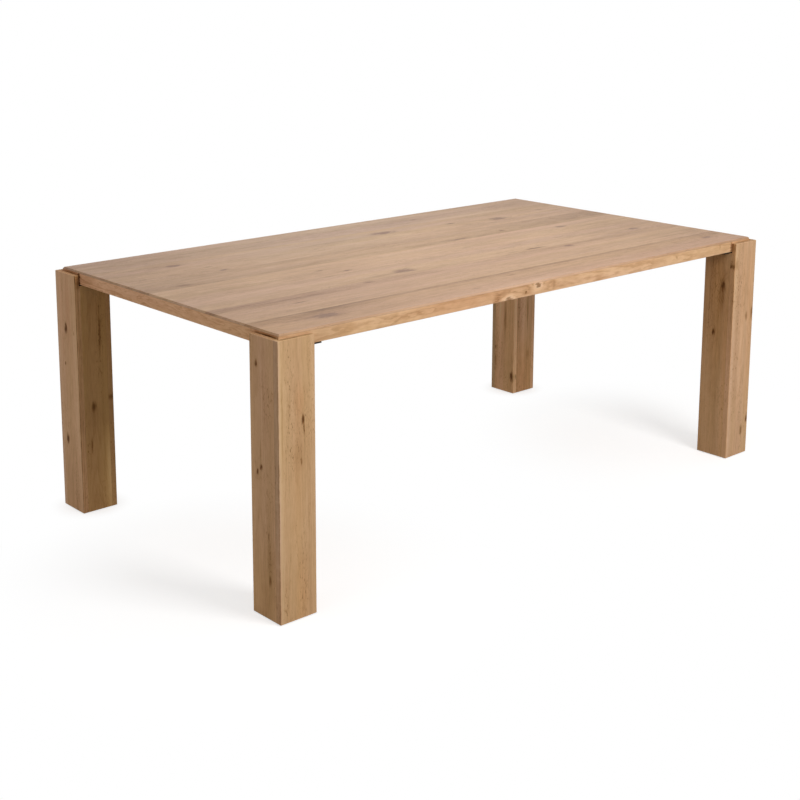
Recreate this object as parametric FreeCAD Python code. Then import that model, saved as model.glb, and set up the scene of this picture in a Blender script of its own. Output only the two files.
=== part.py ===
import FreeCAD
import Part
import math
import os

# Dining table with a board-faced top on four box legs.
# Each leg stands at a corner, and its two outer boards rise past the
# underside of the top, so that an L-shaped lip wraps the top's corner.
# Frame: millimetres, +X along the table, -Y is the front, +Z is up,
# and the origin is on the floor under the middle of the top.

# Overall sizes, over the legs and up to the table's surface
LENGTH = 2000.0
WIDTH = 1100.0
HEIGHT = 750.0

# Top: face boards on a core, with solid lippings round its edges
FACE_THICKNESS = 5.0
CORE_THICKNESS = 30.0
BALANCE_THICKNESS = 4.0
LIPPING_THICKNESS = 12.0
TOP_ARRIS = 4.0
LOWER_ARRIS = 1.0
FACE_WIDTH_SHARES = (0.133, 0.164, 0.117, 0.138, 0.106, 0.190, 0.152)

# Legs: four boards round a hollow, closed by a block at each end
LEG_SIDE = 116.0
BOARD_THICKNESS = 17.0
LIP_REBATE = 4.0
LIP_GAP = 4.0
LIP_REVEAL = 10.5
BOARD_EASING = 1.5
TOP_BLOCK_HEIGHT = 120.0
FOOT_BLOCK_HEIGHT = 60.0
GLIDE_THICKNESS = 2.0
GLIDE_INSET = 12.0

# Loose tongues in the glued joints
LEG_TONGUE_THICKNESS = 5.0
LEG_TONGUE_WIDTH = 14.0
LEG_TONGUE_STOP = 40.0
LIPPING_TONGUE_THICKNESS = 6.0
LIPPING_TONGUE_WIDTH = 12.0
LIPPING_TONGUE_STOP = 45.0

# Steel plate between each leg and the top
PLATE_THICKNESS = 4.0
PLATE_INSET = 1.0
PLATE_FLANGE = 36.0
PLATE_END_SETBACK = 14.0
PLATE_CORNER_CUT = 20.0

# Countersunk screws from the plate down into the leg
SCREW_RADIUS = 3.0
SCREW_LENGTH = 40.0
SCREW_HEAD_RADIUS = 6.0
SCREW_HEAD_HEIGHT = 3.3
SCREW_EDGE = 18.0
SCREW_TIP_ROOM = 5.0
LEG_INSERT_RADIUS = 5.0
LEG_INSERT_LENGTH = 20.0

# Button-head bolts through the plate's flange up into the top
BOLT_RADIUS = 4.0
BOLT_LENGTH = 22.0
BOLT_HEAD_RADIUS = 7.0
BOLT_HEAD_HEIGHT = 4.4
BOLT_SOCKET_RADIUS = 2.9
BOLT_SOCKET_DEPTH = 2.6
BOLT_DISTANCE_SHARES = (0.45, 0.80)
WASHER_RADIUS = 8.0
WASHER_THICKNESS = 1.6
TOP_INSERT_RADIUS = 6.0
TOP_INSERT_LENGTH = 20.0

# Radial room round fasteners, overrun of cuts, and the match of places
FASTENER_ROOM = 0.15
OVERRUN = 5.0
MATCH = 0.01

# A fillet or chamfer takes at most this share of the wall it is cut in
EASING_WALL_SHARE = 0.8
SOCKET_SIDES = 6
CUBIC_CENTIMETRE = 1000.0

# Levels and places that follow from the sizes above
TOP_THICKNESS = FACE_THICKNESS + CORE_THICKNESS + BALANCE_THICKNESS
TOP_UNDERSIDE = HEIGHT - TOP_THICKNESS
CORE_BOTTOM = TOP_UNDERSIDE + BALANCE_THICKNESS
CORE_TOP = HEIGHT - FACE_THICKNESS
LEG_BOTTOM = GLIDE_THICKNESS
LEG_SEAT = TOP_UNDERSIDE - PLATE_THICKNESS
LIP_TOP = HEIGHT - LIP_REVEAL
LIP_THICKNESS = BOARD_THICKNESS - LIP_REBATE
TOP_SETBACK = LIP_THICKNESS + LIP_GAP
TOP_HALF_LENGTH = LENGTH / 2 - TOP_SETBACK
TOP_HALF_WIDTH = WIDTH / 2 - TOP_SETBACK
CORE_HALF_LENGTH = TOP_HALF_LENGTH - LIPPING_THICKNESS
CORE_HALF_WIDTH = TOP_HALF_WIDTH - LIPPING_THICKNESS
PLATE_START = TOP_SETBACK + PLATE_INSET
PLATE_END = LEG_SIDE + PLATE_FLANGE
SIDE_FLANGE_START = TOP_SETBACK + PLATE_END_SETBACK
INNER_BOARD = LEG_SIDE - BOARD_THICKNESS
BOLT_LINE = LEG_SIDE + PLATE_FLANGE / 2
BOLT_SEAT = LEG_SEAT - WASHER_THICKNESS


def box(first, second):
    """Solid block between two opposite corners, in any order."""
    low = [min(a, b) for a, b in zip(first, second)]
    size = [abs(a - b) for a, b in zip(first, second)]
    return Part.makeBox(*size, FreeCAD.Vector(*low))


def rod(radius, foot, height):
    """Upright cylinder standing on the point foot."""
    return Part.makeCylinder(radius, height, foot)


def ring(outer, inner, foot, height):
    """Upright sleeve or washer standing on the point foot."""
    hole_foot = foot - FreeCAD.Vector(0, 0, OVERRUN)
    hole = rod(inner, hole_foot, height + OVERRUN + OVERRUN)
    return rod(outer, foot, height).cut(hole)


def edge_along(edge, fixed):
    """True if both ends of an edge lie on the fixed coordinates, given by axis index."""
    ends = [vertex.Point for vertex in edge.Vertexes]
    return all(abs(end[axis] - place) < MATCH for end in ends for axis, place in fixed.items())


def pick_edges(shape, places):
    """The edges of a shape that lie along any of the given places."""
    return [edge for edge in shape.Edges if any(edge_along(edge, place) for place in places)]


def export(node, solids):
    """Writes one node, which is one solid or a group of alike solids."""
    shape = solids[0] if len(solids) == 1 else Part.makeCompound(solids)
    shape.exportStep(os.path.join("parts", node + ".step"))
    volume = sum(solid.Volume for solid in solids)
    print(f"{node}: {len(solids)} solid(s), {volume / CUBIC_CENTIMETRE:.1f} cm3, valid {shape.isValid()}")


class Corner:
    """One corner of the table, with x and y measured inwards from the leg's outer corner."""

    def __init__(self, name, side_x, side_y):
        self.name = name
        self.side_x = side_x
        self.side_y = side_y

    def point(self, x, y, z):
        """The corner's own place as a point of the table."""
        return FreeCAD.Vector(self.side_x * (LENGTH / 2 - x), self.side_y * (WIDTH / 2 - y), z)

    def block(self, xs, ys, zs):
        """Block between two places in x, y and z."""
        first, second = zip(xs, ys, zs)
        return box(self.point(*first), self.point(*second))

    def upright(self, x, y):
        """The upright line at a place in plan, as fixed coordinates."""
        point = self.point(x, y, 0)
        return {0: point.x, 1: point.y}

    def lip_edge_at_x(self, x):
        """The edge of the lip's upper face at a place in x, as fixed coordinates."""
        return {0: self.point(x, 0, 0).x, 2: LIP_TOP}

    def lip_edge_at_y(self, y):
        """The edge of the lip's upper face at a place in y, as fixed coordinates."""
        return {1: self.point(0, y, 0).y, 2: LIP_TOP}


CORNERS = (
    Corner("front_left", -1, -1),
    Corner("front_right", 1, -1),
    Corner("back_left", -1, 1),
    Corner("back_right", 1, 1),
)


def screw_places():
    """Places of the countersunk screws in a leg's block, from the leg's outer corner."""
    first = BOARD_THICKNESS + SCREW_EDGE
    second = INNER_BOARD - SCREW_EDGE
    return [(x, y) for x in (first, second) for y in (first, second)]


def bolt_places():
    """Places of the flange bolts: along both flanges and at the corner between them."""
    along = [LEG_SIDE * share for share in BOLT_DISTANCE_SHARES]
    places = [(BOLT_LINE, y) for y in along]
    places += [(x, BOLT_LINE) for x in along]
    return places + [(BOLT_LINE, BOLT_LINE)]


def top_insert_holes(radius):
    """Cylinders that clear the threaded inserts under the top."""
    height = TOP_INSERT_LENGTH + OVERRUN
    return [
        rod(radius, corner.point(x, y, TOP_UNDERSIDE - OVERRUN), height)
        for corner in CORNERS
        for x, y in bolt_places()
    ]


# Top

def face_boards():
    """Boards of the table's surface, from the front edge to the back, eased round the outline."""
    arris = min(TOP_ARRIS, FACE_THICKNESS * EASING_WALL_SHARE)
    boards = []
    front = -TOP_HALF_WIDTH
    for share in FACE_WIDTH_SHARES:
        back = front + share * (TOP_HALF_WIDTH + TOP_HALF_WIDTH) / sum(FACE_WIDTH_SHARES)
        board = box((-TOP_HALF_LENGTH, front, CORE_TOP), (TOP_HALF_LENGTH, back, HEIGHT))
        outline = [{0: -TOP_HALF_LENGTH, 2: HEIGHT}, {0: TOP_HALF_LENGTH, 2: HEIGHT}]
        outline += [{1: -TOP_HALF_WIDTH, 2: HEIGHT}, {1: TOP_HALF_WIDTH, 2: HEIGHT}]
        boards.append(board.makeChamfer(arris, pick_edges(board, outline)))
        front = back
    return boards


def lipping_tongue_blocks():
    """Tongues between the core and the lippings: front, back, left and right."""
    middle = (CORE_BOTTOM + CORE_TOP) / 2
    low = middle - LIPPING_TONGUE_THICKNESS / 2
    high = middle + LIPPING_TONGUE_THICKNESS / 2
    depth = LIPPING_TONGUE_WIDTH / 2
    run_x = CORE_HALF_LENGTH - LIPPING_TONGUE_STOP
    run_y = CORE_HALF_WIDTH - LIPPING_TONGUE_STOP
    blocks = {}
    for name, side in (("front", -1), ("back", 1)):
        inner = side * (CORE_HALF_WIDTH - depth)
        outer = side * (CORE_HALF_WIDTH + depth)
        blocks[name] = box((-run_x, inner, low), (run_x, outer, high))
    for name, side in (("left", -1), ("right", 1)):
        inner = side * (CORE_HALF_LENGTH - depth)
        outer = side * (CORE_HALF_LENGTH + depth)
        blocks[name] = box((inner, -run_y, low), (outer, run_y, high))
    return blocks


def core_panel(tongues):
    """Core of the top, grooved for the tongues and bored for the inserts."""
    panel = box(
        (-CORE_HALF_LENGTH, -CORE_HALF_WIDTH, CORE_BOTTOM),
        (CORE_HALF_LENGTH, CORE_HALF_WIDTH, CORE_TOP),
    )
    return panel.cut(list(tongues.values()) + top_insert_holes(TOP_INSERT_RADIUS + FASTENER_ROOM))


def balance_layer():
    """Layer under the core that keeps the panel flat, inside the lippings."""
    layer = box(
        (-CORE_HALF_LENGTH, -CORE_HALF_WIDTH, TOP_UNDERSIDE),
        (CORE_HALF_LENGTH, CORE_HALF_WIDTH, CORE_BOTTOM),
    )
    return layer.cut(top_insert_holes(TOP_INSERT_RADIUS + FASTENER_ROOM))


def edge_lippings(tongues):
    """Solid strips round the core; the long ones cover the ends of the short ones."""
    arris = min(LOWER_ARRIS, LIPPING_THICKNESS * EASING_WALL_SHARE)
    strips = {}
    for name, side in (("front", -1), ("back", 1)):
        inner = side * CORE_HALF_WIDTH
        outer = side * TOP_HALF_WIDTH
        strip = box((-TOP_HALF_LENGTH, inner, TOP_UNDERSIDE), (TOP_HALF_LENGTH, outer, CORE_TOP))
        strips[name] = strip, {1: outer, 2: TOP_UNDERSIDE}
    for name, side in (("left", -1), ("right", 1)):
        inner = side * CORE_HALF_LENGTH
        outer = side * TOP_HALF_LENGTH
        strip = box((inner, -CORE_HALF_WIDTH, TOP_UNDERSIDE), (outer, CORE_HALF_WIDTH, CORE_TOP))
        strips[name] = strip, {0: outer, 2: TOP_UNDERSIDE}
    return {
        name: strip.makeChamfer(arris, pick_edges(strip, [lower_edge])).cut(tongues[name])
        for name, (strip, lower_edge) in strips.items()
    }


# Legs

def leg_tongue_blocks(corner):
    """Tongues in a leg's four glued joints, standing clear of both ends."""
    half = LEG_TONGUE_THICKNESS / 2
    depth = LEG_TONGUE_WIDTH / 2
    heights = (LEG_BOTTOM + LEG_TONGUE_STOP, LEG_SEAT - LEG_TONGUE_STOP)
    outer_middle = BOARD_THICKNESS / 2
    inner_middle = LEG_SIDE - BOARD_THICKNESS / 2
    across = (BOARD_THICKNESS - depth, BOARD_THICKNESS + depth)
    blocks = [
        corner.block((middle - half, middle + half), across, heights)
        for middle in (outer_middle, inner_middle)
    ]
    blocks += [
        corner.block((joint - depth, joint + depth), (inner_middle - half, inner_middle + half), heights)
        for joint in (BOARD_THICKNESS, INNER_BOARD)
    ]
    return blocks


def leg_boards(corner, tongues):
    """The four boards of a leg; the two outer ones rise into the lip round the top's corner."""
    easing = min(BOARD_EASING, LIP_THICKNESS * EASING_WALL_SHARE / 2)
    to_seat = (LEG_BOTTOM, LEG_SEAT)
    to_lip = (LEG_BOTTOM, LIP_TOP)
    rebate = corner.block(
        (LIP_THICKNESS, LEG_SIDE + OVERRUN),
        (LIP_THICKNESS, LEG_SIDE + OVERRUN),
        (LEG_SEAT, LIP_TOP + OVERRUN),
    )
    cuts = [rebate] + tongues

    outer_side = corner.block((0, LEG_SIDE), (0, BOARD_THICKNESS), to_lip)
    outer_side_edges = [
        corner.upright(0, 0),
        corner.upright(LEG_SIDE, 0),
        corner.lip_edge_at_x(0),
        corner.lip_edge_at_x(LEG_SIDE),
        corner.lip_edge_at_y(0),
    ]
    outer_end = corner.block((0, BOARD_THICKNESS), (BOARD_THICKNESS, LEG_SIDE), to_lip)
    outer_end_edges = [
        corner.upright(0, LEG_SIDE),
        corner.lip_edge_at_x(0),
        corner.lip_edge_at_y(LEG_SIDE),
    ]
    inner_end = corner.block((INNER_BOARD, LEG_SIDE), (BOARD_THICKNESS, LEG_SIDE), to_seat)
    inner_end_edges = [corner.upright(LEG_SIDE, LEG_SIDE)]
    inner_side = corner.block((BOARD_THICKNESS, INNER_BOARD), (INNER_BOARD, LEG_SIDE), to_seat)

    eased = {
        "outer_side_board": outer_side.makeFillet(easing, pick_edges(outer_side, outer_side_edges)),
        "outer_end_board": outer_end.makeFillet(easing, pick_edges(outer_end, outer_end_edges)),
        "inner_end_board": inner_end.makeFillet(easing, pick_edges(inner_end, inner_end_edges)),
        "inner_side_board": inner_side,
    }
    return {name: board.cut(cuts) for name, board in eased.items()}


def leg_blocks(corner):
    """Blocks glued inside a leg: one bored for the screws and inserts, one that closes the foot."""
    inside = (BOARD_THICKNESS, INNER_BOARD)
    top_block = corner.block(inside, inside, (LEG_SEAT - TOP_BLOCK_HEIGHT, LEG_SEAT))
    bores = []
    tip = TOP_UNDERSIDE - SCREW_LENGTH - SCREW_TIP_ROOM
    for x, y in screw_places():
        insert_foot = corner.point(x, y, LEG_SEAT - LEG_INSERT_LENGTH)
        bores.append(rod(LEG_INSERT_RADIUS + FASTENER_ROOM, insert_foot, LEG_INSERT_LENGTH + OVERRUN))
        bores.append(rod(SCREW_RADIUS + FASTENER_ROOM, corner.point(x, y, tip), LEG_SEAT - tip))
    foot_block = corner.block(inside, inside, (LEG_BOTTOM, LEG_BOTTOM + FOOT_BLOCK_HEIGHT))
    return {"top_block": top_block.cut(bores), "foot_block": foot_block}


def leg_glide(corner):
    """Hard nylon glide under a foot, set in from the leg's faces."""
    spread = (GLIDE_INSET, LEG_SIDE - GLIDE_INSET)
    return corner.block(spread, spread, (0, LEG_BOTTOM))


# Steel plates and fasteners

def leg_plate(corner):
    """Steel plate on a leg's seat, with a flange past each inner face; one is set in from the top's end."""
    clipped = PLATE_END - PLATE_CORNER_CUT
    outline = [
        (PLATE_START, PLATE_START),
        (PLATE_END, PLATE_START),
        (PLATE_END, clipped),
        (clipped, PLATE_END),
        (SIDE_FLANGE_START, PLATE_END),
        (SIDE_FLANGE_START, LEG_SIDE),
        (PLATE_START, LEG_SIDE),
        (PLATE_START, PLATE_START),
    ]
    wire = Part.makePolygon([corner.point(x, y, LEG_SEAT) for x, y in outline])
    plate = Part.Face(wire).extrude(FreeCAD.Vector(0, 0, PLATE_THICKNESS))
    holes = []
    for x, y in screw_places():
        foot = corner.point(x, y, LEG_SEAT - OVERRUN)
        holes.append(rod(SCREW_RADIUS + FASTENER_ROOM, foot, PLATE_THICKNESS + OVERRUN))
        holes.append(screw_head(corner, x, y, FASTENER_ROOM))
    for x, y in bolt_places():
        foot = corner.point(x, y, LEG_SEAT - OVERRUN)
        holes.append(rod(BOLT_RADIUS + FASTENER_ROOM, foot, PLATE_THICKNESS + OVERRUN + OVERRUN))
    return plate.cut(holes)


def screw_head(corner, x, y, room):
    """Countersunk head level with the plate's upper face, grown by some radial room."""
    foot = corner.point(x, y, TOP_UNDERSIDE - SCREW_HEAD_HEIGHT)
    return Part.makeCone(SCREW_RADIUS + room, SCREW_HEAD_RADIUS + room, SCREW_HEAD_HEIGHT, foot)


def leg_screw(corner, x, y):
    """Countersunk screw from the plate down into the leg's block."""
    foot = corner.point(x, y, TOP_UNDERSIDE - SCREW_LENGTH)
    shank = rod(SCREW_RADIUS, foot, SCREW_LENGTH - SCREW_HEAD_HEIGHT / 2)
    return shank.fuse(screw_head(corner, x, y, 0))


def leg_insert(corner, x, y):
    """Threaded insert, level with the leg's seat."""
    foot = corner.point(x, y, LEG_SEAT - LEG_INSERT_LENGTH)
    return ring(LEG_INSERT_RADIUS, SCREW_RADIUS + FASTENER_ROOM, foot, LEG_INSERT_LENGTH)


def flange_bolt(corner, x, y):
    """Button-head bolt with a hexagon socket, driven upwards into the top."""
    head_bottom = BOLT_SEAT - BOLT_HEAD_HEIGHT
    head = rod(BOLT_HEAD_RADIUS, corner.point(x, y, head_bottom), BOLT_HEAD_HEIGHT)
    rim = [edge for edge in head.Edges if edge_along(edge, {2: head_bottom})]
    head = head.makeChamfer(BOLT_HEAD_HEIGHT / 2, rim)
    shank = rod(BOLT_RADIUS, corner.point(x, y, BOLT_SEAT), BOLT_LENGTH)
    corners = []
    for index in range(SOCKET_SIDES + 1):
        turn = math.tau * index / SOCKET_SIDES
        reach = FreeCAD.Vector(math.cos(turn), math.sin(turn), 0) * BOLT_SOCKET_RADIUS
        corners.append(corner.point(x, y, head_bottom - OVERRUN) + reach)
    socket = Part.Face(Part.makePolygon(corners))
    socket = socket.extrude(FreeCAD.Vector(0, 0, BOLT_SOCKET_DEPTH + OVERRUN))
    return head.fuse(shank).cut(socket).removeSplitter()


def flange_washer(corner, x, y):
    """Plain washer between a bolt's head and the plate's flange."""
    return ring(WASHER_RADIUS, BOLT_RADIUS + FASTENER_ROOM, corner.point(x, y, BOLT_SEAT), WASHER_THICKNESS)


def top_insert(corner, x, y):
    """Threaded insert in the core, level with the underside of the top."""
    foot = corner.point(x, y, TOP_UNDERSIDE)
    return ring(TOP_INSERT_RADIUS, BOLT_RADIUS + FASTENER_ROOM, foot, TOP_INSERT_LENGTH)


def at_places(make, places):
    """One solid at each place of every corner."""
    return [make(corner, x, y) for corner in CORNERS for x, y in places]


def main():
    """Builds every piece and writes one file per node."""
    os.makedirs("parts", exist_ok=True)

    for number, board in enumerate(face_boards(), start=1):
        export(f"top_board_{number}", [board])
    lipping_tongues = lipping_tongue_blocks()
    export("top_core_panel", [core_panel(lipping_tongues)])
    export("top_balance_layer", [balance_layer()])
    for name, lipping in edge_lippings(lipping_tongues).items():
        export(f"{name}_edge_lipping", [lipping])
    export("lipping_tongues", list(lipping_tongues.values()))

    leg_tongues = []
    for corner in CORNERS:
        tongues = leg_tongue_blocks(corner)
        leg_tongues += tongues
        pieces = leg_boards(corner, tongues)
        pieces.update(leg_blocks(corner))
        pieces["glide"] = leg_glide(corner)
        pieces["plate"] = leg_plate(corner)
        for name, piece in pieces.items():
            export(f"{corner.name}_leg_{name}", [piece])
    export("leg_corner_tongues", leg_tongues)

    export("leg_plate_screws", at_places(leg_screw, screw_places()))
    export("leg_block_inserts", at_places(leg_insert, screw_places()))
    export("top_fixing_bolts", at_places(flange_bolt, bolt_places()))
    export("top_fixing_washers", at_places(flange_washer, bolt_places()))
    export("top_fixing_inserts", at_places(top_insert, bolt_places()))


main()
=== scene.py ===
"""Looks of a dining table: oak boards on box legs, steel plates and a white studio.

Every length is in metres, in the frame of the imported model: +X along the table, -Y its front, +Z up.
"""

import logging
import math
from dataclasses import dataclass, replace
from enum import Enum
from typing import Any, Callable, TypeVar, Union

import bpy
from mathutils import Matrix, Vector

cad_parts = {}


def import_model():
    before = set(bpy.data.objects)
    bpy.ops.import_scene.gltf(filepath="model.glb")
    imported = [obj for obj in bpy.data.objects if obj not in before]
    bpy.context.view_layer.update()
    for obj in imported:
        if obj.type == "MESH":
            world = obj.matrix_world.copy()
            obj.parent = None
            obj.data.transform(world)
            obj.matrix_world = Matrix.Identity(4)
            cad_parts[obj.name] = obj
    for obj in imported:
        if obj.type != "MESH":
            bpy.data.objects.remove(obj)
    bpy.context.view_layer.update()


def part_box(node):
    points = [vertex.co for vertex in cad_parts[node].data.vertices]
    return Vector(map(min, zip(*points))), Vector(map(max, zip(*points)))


LOG = logging.getLogger("dining_table")
MILLIMETRE = 0.001
WHITE = (1.0, 1.0, 1.0, 1.0)
NOISE_MIDDLE = 0.5

# Shifts that keep patterns of the same board, and the blocks of the legs, apart
FLOCK_SHIFT = 20.0
CURL_SHIFT = 30.0
HUE_SHIFT = 50.0
BLOCK_SHIFT = 131.0
BLOCK_SHIFT_STEP = 7.0

Triple = tuple[float, float, float]
Pair = tuple[float, float]
Stops = list[tuple[float, Triple]]
SomeMark = TypeVar("SomeMark", bound="Mark")
Term = Union["Signal", float, Triple, tuple[float, float, float, float]]


def opaque(colour: Triple) -> tuple[float, float, float, float]:
    """The colour with full cover."""
    return (*colour, 1.0)


# Shader expressions


def operator_method(operation: str, swapped: bool = False) -> Callable[["Signal", Term], "Signal"]:
    """A method that joins a signal and another value by one operation.

    Args:
        operation: The operation.
        swapped: True for the reflected form, where the other value comes first.

    Returns:
        The method.
    """

    def method(self: "Signal", other: Term) -> "Signal":
        """The result of the operation."""
        terms = (other, self) if swapped else (self, other)
        return self.sheet.math(operation, *terms)

    return method


class Signal:
    """An output of a shader node that takes part in Python expressions."""

    __add__ = operator_method("ADD")
    __radd__ = operator_method("ADD", swapped=True)
    __sub__ = operator_method("SUBTRACT")
    __rsub__ = operator_method("SUBTRACT", swapped=True)
    __mul__ = operator_method("MULTIPLY")
    __rmul__ = operator_method("MULTIPLY", swapped=True)
    __truediv__ = operator_method("DIVIDE")
    __rtruediv__ = operator_method("DIVIDE", swapped=True)

    def __init__(self, sheet: "NodeSheet", socket: bpy.types.NodeSocket) -> None:
        """Keeps the socket with the sheet that its node is on."""
        self.sheet = sheet
        self.socket = socket

    def __abs__(self) -> "Signal":
        """This value without its sign."""
        return self.sheet.math("ABSOLUTE", self)


class NodeSheet:
    """The nodes of one material or world, all made by one method."""

    def __init__(self, tree: bpy.types.NodeTree) -> None:
        """Empties the tree that it writes to."""
        self.tree = tree
        tree.nodes.clear()

    def add(self, kind: str, settings: dict[str, Any], sockets: dict[Any, Term]) -> bpy.types.Node:
        """Adds one node.

        Args:
            kind: Type of the node, after the common prefix.
            settings: Properties, set before the sockets; stops holds a ramp's places and colours.
            sockets: Values or links, by the socket's name or number.

        Returns:
            The new node.
        """
        made = self.tree.nodes.new("ShaderNode" + kind)
        for name, value in settings.items():
            if name == "stops":
                self._set_stops(made.color_ramp, value)
            else:
                setattr(made, name, value)
        for key, value in sockets.items():
            if isinstance(value, Signal):
                self.tree.links.new(value.socket, made.inputs[key])
            else:
                made.inputs[key].default_value = value
        return made

    def node(
        self, kind: str, settings: dict[str, Any], sockets: dict[Any, Term], output: int | str = 0
    ) -> Signal:
        """Adds one node and gives the wanted output, named or numbered."""
        return Signal(self, self.add(kind, settings, sockets).outputs[output])

    @staticmethod
    def _set_stops(ramp: bpy.types.ColorRamp, stops: Stops) -> None:
        """Gives a colour ramp its stops, in rising order."""
        while len(ramp.elements) < len(stops):
            ramp.elements.new(1.0)
        for element, (place, colour) in zip(ramp.elements, stops):
            element.position = place
            element.color = opaque(colour)

    def math(self, operation: str, *terms: Term) -> Signal:
        """The result of one operation on values."""
        return self.node("Math", {"operation": operation}, dict(enumerate(terms)))

    def vector(self, operation: str, *terms: Term, output: str = "Vector") -> Signal:
        """The result of one operation on vectors."""
        return self.node("VectorMath", {"operation": operation}, dict(enumerate(terms)), output)

    def ramp(self, stops: Stops, value: Signal) -> Signal:
        """A colour that runs through the stops with the value."""
        return self.node("ValToRGB", {"stops": stops}, {"Fac": value})

    def split(self, place: Signal) -> list[Signal]:
        """The three parts of a vector."""
        parts = self.add("SeparateXYZ", {}, {0: place})
        return [Signal(self, output) for output in parts.outputs]

    def join(self, first: Term, second: Term, third: Term) -> Signal:
        """A vector from its three parts."""
        return self.node("CombineXYZ", {}, {0: first, 1: second, 2: third})

    def smooth(self, value: Signal, start: float, end: float) -> Signal:
        """A soft step that is 0 at start and 1 at end."""
        sockets = {"Value": value, "From Min": start, "From Max": end}
        return self.node("MapRange", {"interpolation_type": "SMOOTHSTEP"}, sockets)

    def noise(
        self, place: Signal, scale: Triple, shift: float, detail: float = 2.0, output: str = "Fac"
    ) -> Signal:
        """Noise around a half, stretched by one scale for each direction.

        Args:
            place: Point where the noise is read.
            scale: Changes per metre in each direction.
            shift: Moves the pattern, so that no two boards are alike.
            detail: Number of finer layers.
            output: Fac for one value, Color for three.

        Returns:
            The noise.
        """
        stretched = self.vector("MULTIPLY_ADD", place, scale, (shift, shift, shift))
        return self.node("TexNoise", {}, {"Vector": stretched, "Scale": 1.0, "Detail": detail}, output)

    def blend(self, amount: Term, first: Term, second: Term, way: str = "MIX") -> Signal:
        """A mix of two colours."""
        settings = {"data_type": "RGBA", "blend_type": way}
        return self.node("Mix", settings, {0: amount, 6: first, 7: second}, 2)

    def object_place(self) -> Signal:
        """The point in the frame of the table."""
        return self.node("TexCoord", {}, {}, "Object")

    def facing(self) -> Signal:
        """The direction that a facet faces."""
        return self.node("NewGeometry", {}, {}, "True Normal")

    def surface(self, sockets: dict[str, Term]) -> Signal:
        """A principled surface."""
        return self.node("BsdfPrincipled", {}, sockets)

    def bump(self, height: Signal, strength: float, distance: float) -> Signal:
        """A normal that follows the height."""
        return self.node("Bump", {}, {"Strength": strength, "Distance": distance, "Height": height})

    def end(self, kind: str, shader: Signal) -> None:
        """Links the shader to the output of a material or a world."""
        self.add("Output" + kind, {}, {"Surface": shader})


def new_sheet(name: str) -> tuple[bpy.types.Material, NodeSheet]:
    """A new material and its empty sheet."""
    material = bpy.data.materials.new(name)
    material.use_nodes = True
    return material, NodeSheet(material.node_tree)


def set_material(node: str, material: bpy.types.Material) -> None:
    """Puts a material in every slot of a CAD node."""
    mesh = bpy.data.objects[node].data
    if not mesh.materials:
        mesh.materials.append(material)
    for index in range(len(mesh.materials)):
        mesh.materials[index] = material
    LOG.info("%s wears %s", node, material.name)


# Oak boards and their marks


class Lay(Enum):
    """How a board lies: the axes along its grain, across its face and through it."""

    FACE = (0, 1, 2)
    LONG_EDGE = (0, 2, 1)
    SHORT_EDGE = (1, 2, 0)
    LEG_SIDE = (2, 0, 1)
    LEG_END = (2, 1, 0)


class Tone(Enum):
    """Tint of a board. On the top it is the board's own tone; on the legs it is also painted light and
    painted shade, which lift or lower each face to how brightly it is lit.
    """

    FAIR = (1.0, 1.0, 1.0)
    PALE = (1.03, 1.03, 1.03)
    LIGHT = (1.06, 1.05, 1.1)
    CREAM = (1.055, 1.02, 1.05)
    HONEY = (0.93, 0.88, 0.84)
    WHEAT = (0.97, 0.95, 0.94)
    BRONZE = (1.0, 0.94, 0.9)
    # Painted light: lifts faces of the back-right leg that lie in the top's shade.
    PAINTED_LIGHT = (1.46, 1.4, 1.36)
    GOLDEN = (1.02, 1.01, 0.97)
    AMBER = (1.2, 1.07, 1.06)
    ROSE = (1.18, 1.1, 1.08)
    OLIVE = (1.03, 0.98, 0.99)
    MIDDLE = (0.92, 0.91, 0.91)
    GREY = (0.94, 0.94, 0.97)
    # Painted shade: darkens the back-left leg's faces under the top.
    PAINTED_SHADE = (0.78, 0.71, 0.54)
    SANDY = (1.16, 1.11, 1.14)
    MAUVE = (1.22, 1.2, 1.32)


class Weave(tuple, Enum):
    """Changes per metre of each part of the grain, along, across and through the board."""

    SWAY = (1.3, 0.0, 0.0)
    WANDER = (45.0, 140.0, 0.0)
    WOBBLE = (7.0, 48.0, 48.0)
    CURL = (14.0, 60.0, 60.0)
    HUE = (0.7, 12.0, 12.0)
    MOTTLE = (26.0, 60.0, 60.0)
    CLOUD = (3.0, 15.0, 15.0)
    BAND = (0.9, 52.0, 52.0)
    STREAK = (4.5, 130.0, 130.0)
    LINE = (10.0, 300.0, 300.0)
    FIBRE = (36.0, 480.0, 480.0)
    TICK = (100.0, 380.0, 380.0)
    FLOCK = (4.0, 22.0, 22.0)
    PORE = (120.0, 1300.0, 1300.0)
    KNOT = (50.0, 150.0, 150.0)


class Step(tuple, Enum):
    """Where a soft step of a pattern starts and ends."""

    COVER = (1.0, 0.1)
    SWELL = (4.0, 0.4)
    RING_START = (0.0, 0.08)
    RING_END = (0.55, 0.08)
    TICK = (0.56, 0.72)
    FLOCK = (0.42, 0.66)
    PORE = (0.56, 0.7)
    END_GRAIN = (0.5, 0.95)
    EASED = (0.98, 0.88)
    SMEAR = (1.0, 0.2)
    SMEAR_LINE = (0.44, 0.6)
    HAZE = (1.5, 0.7)
    HEART = (1.0, 0.45)


@dataclass(frozen=True)
class Mark:
    """A mark in a board, placed by shares of the board from its low end and its low side."""

    along_share: float
    across_share: float
    half_length: float
    half_width: float


@dataclass(frozen=True)
class Knot(Mark):
    """A dark knot."""


@dataclass(frozen=True)
class Smudge(Mark):
    """A soft stretch of deeper colour, or of paler colour where its depth is below zero; mostly wood
    figure, while some deeper ones are painted shade and some paler ones painted highlights.
    """

    depth: float


@dataclass(frozen=True)
class Blush(Mark):
    """A soft stretch of another hue; mostly wood figure, while a few darken a board as painted shade."""

    tint: Triple


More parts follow.
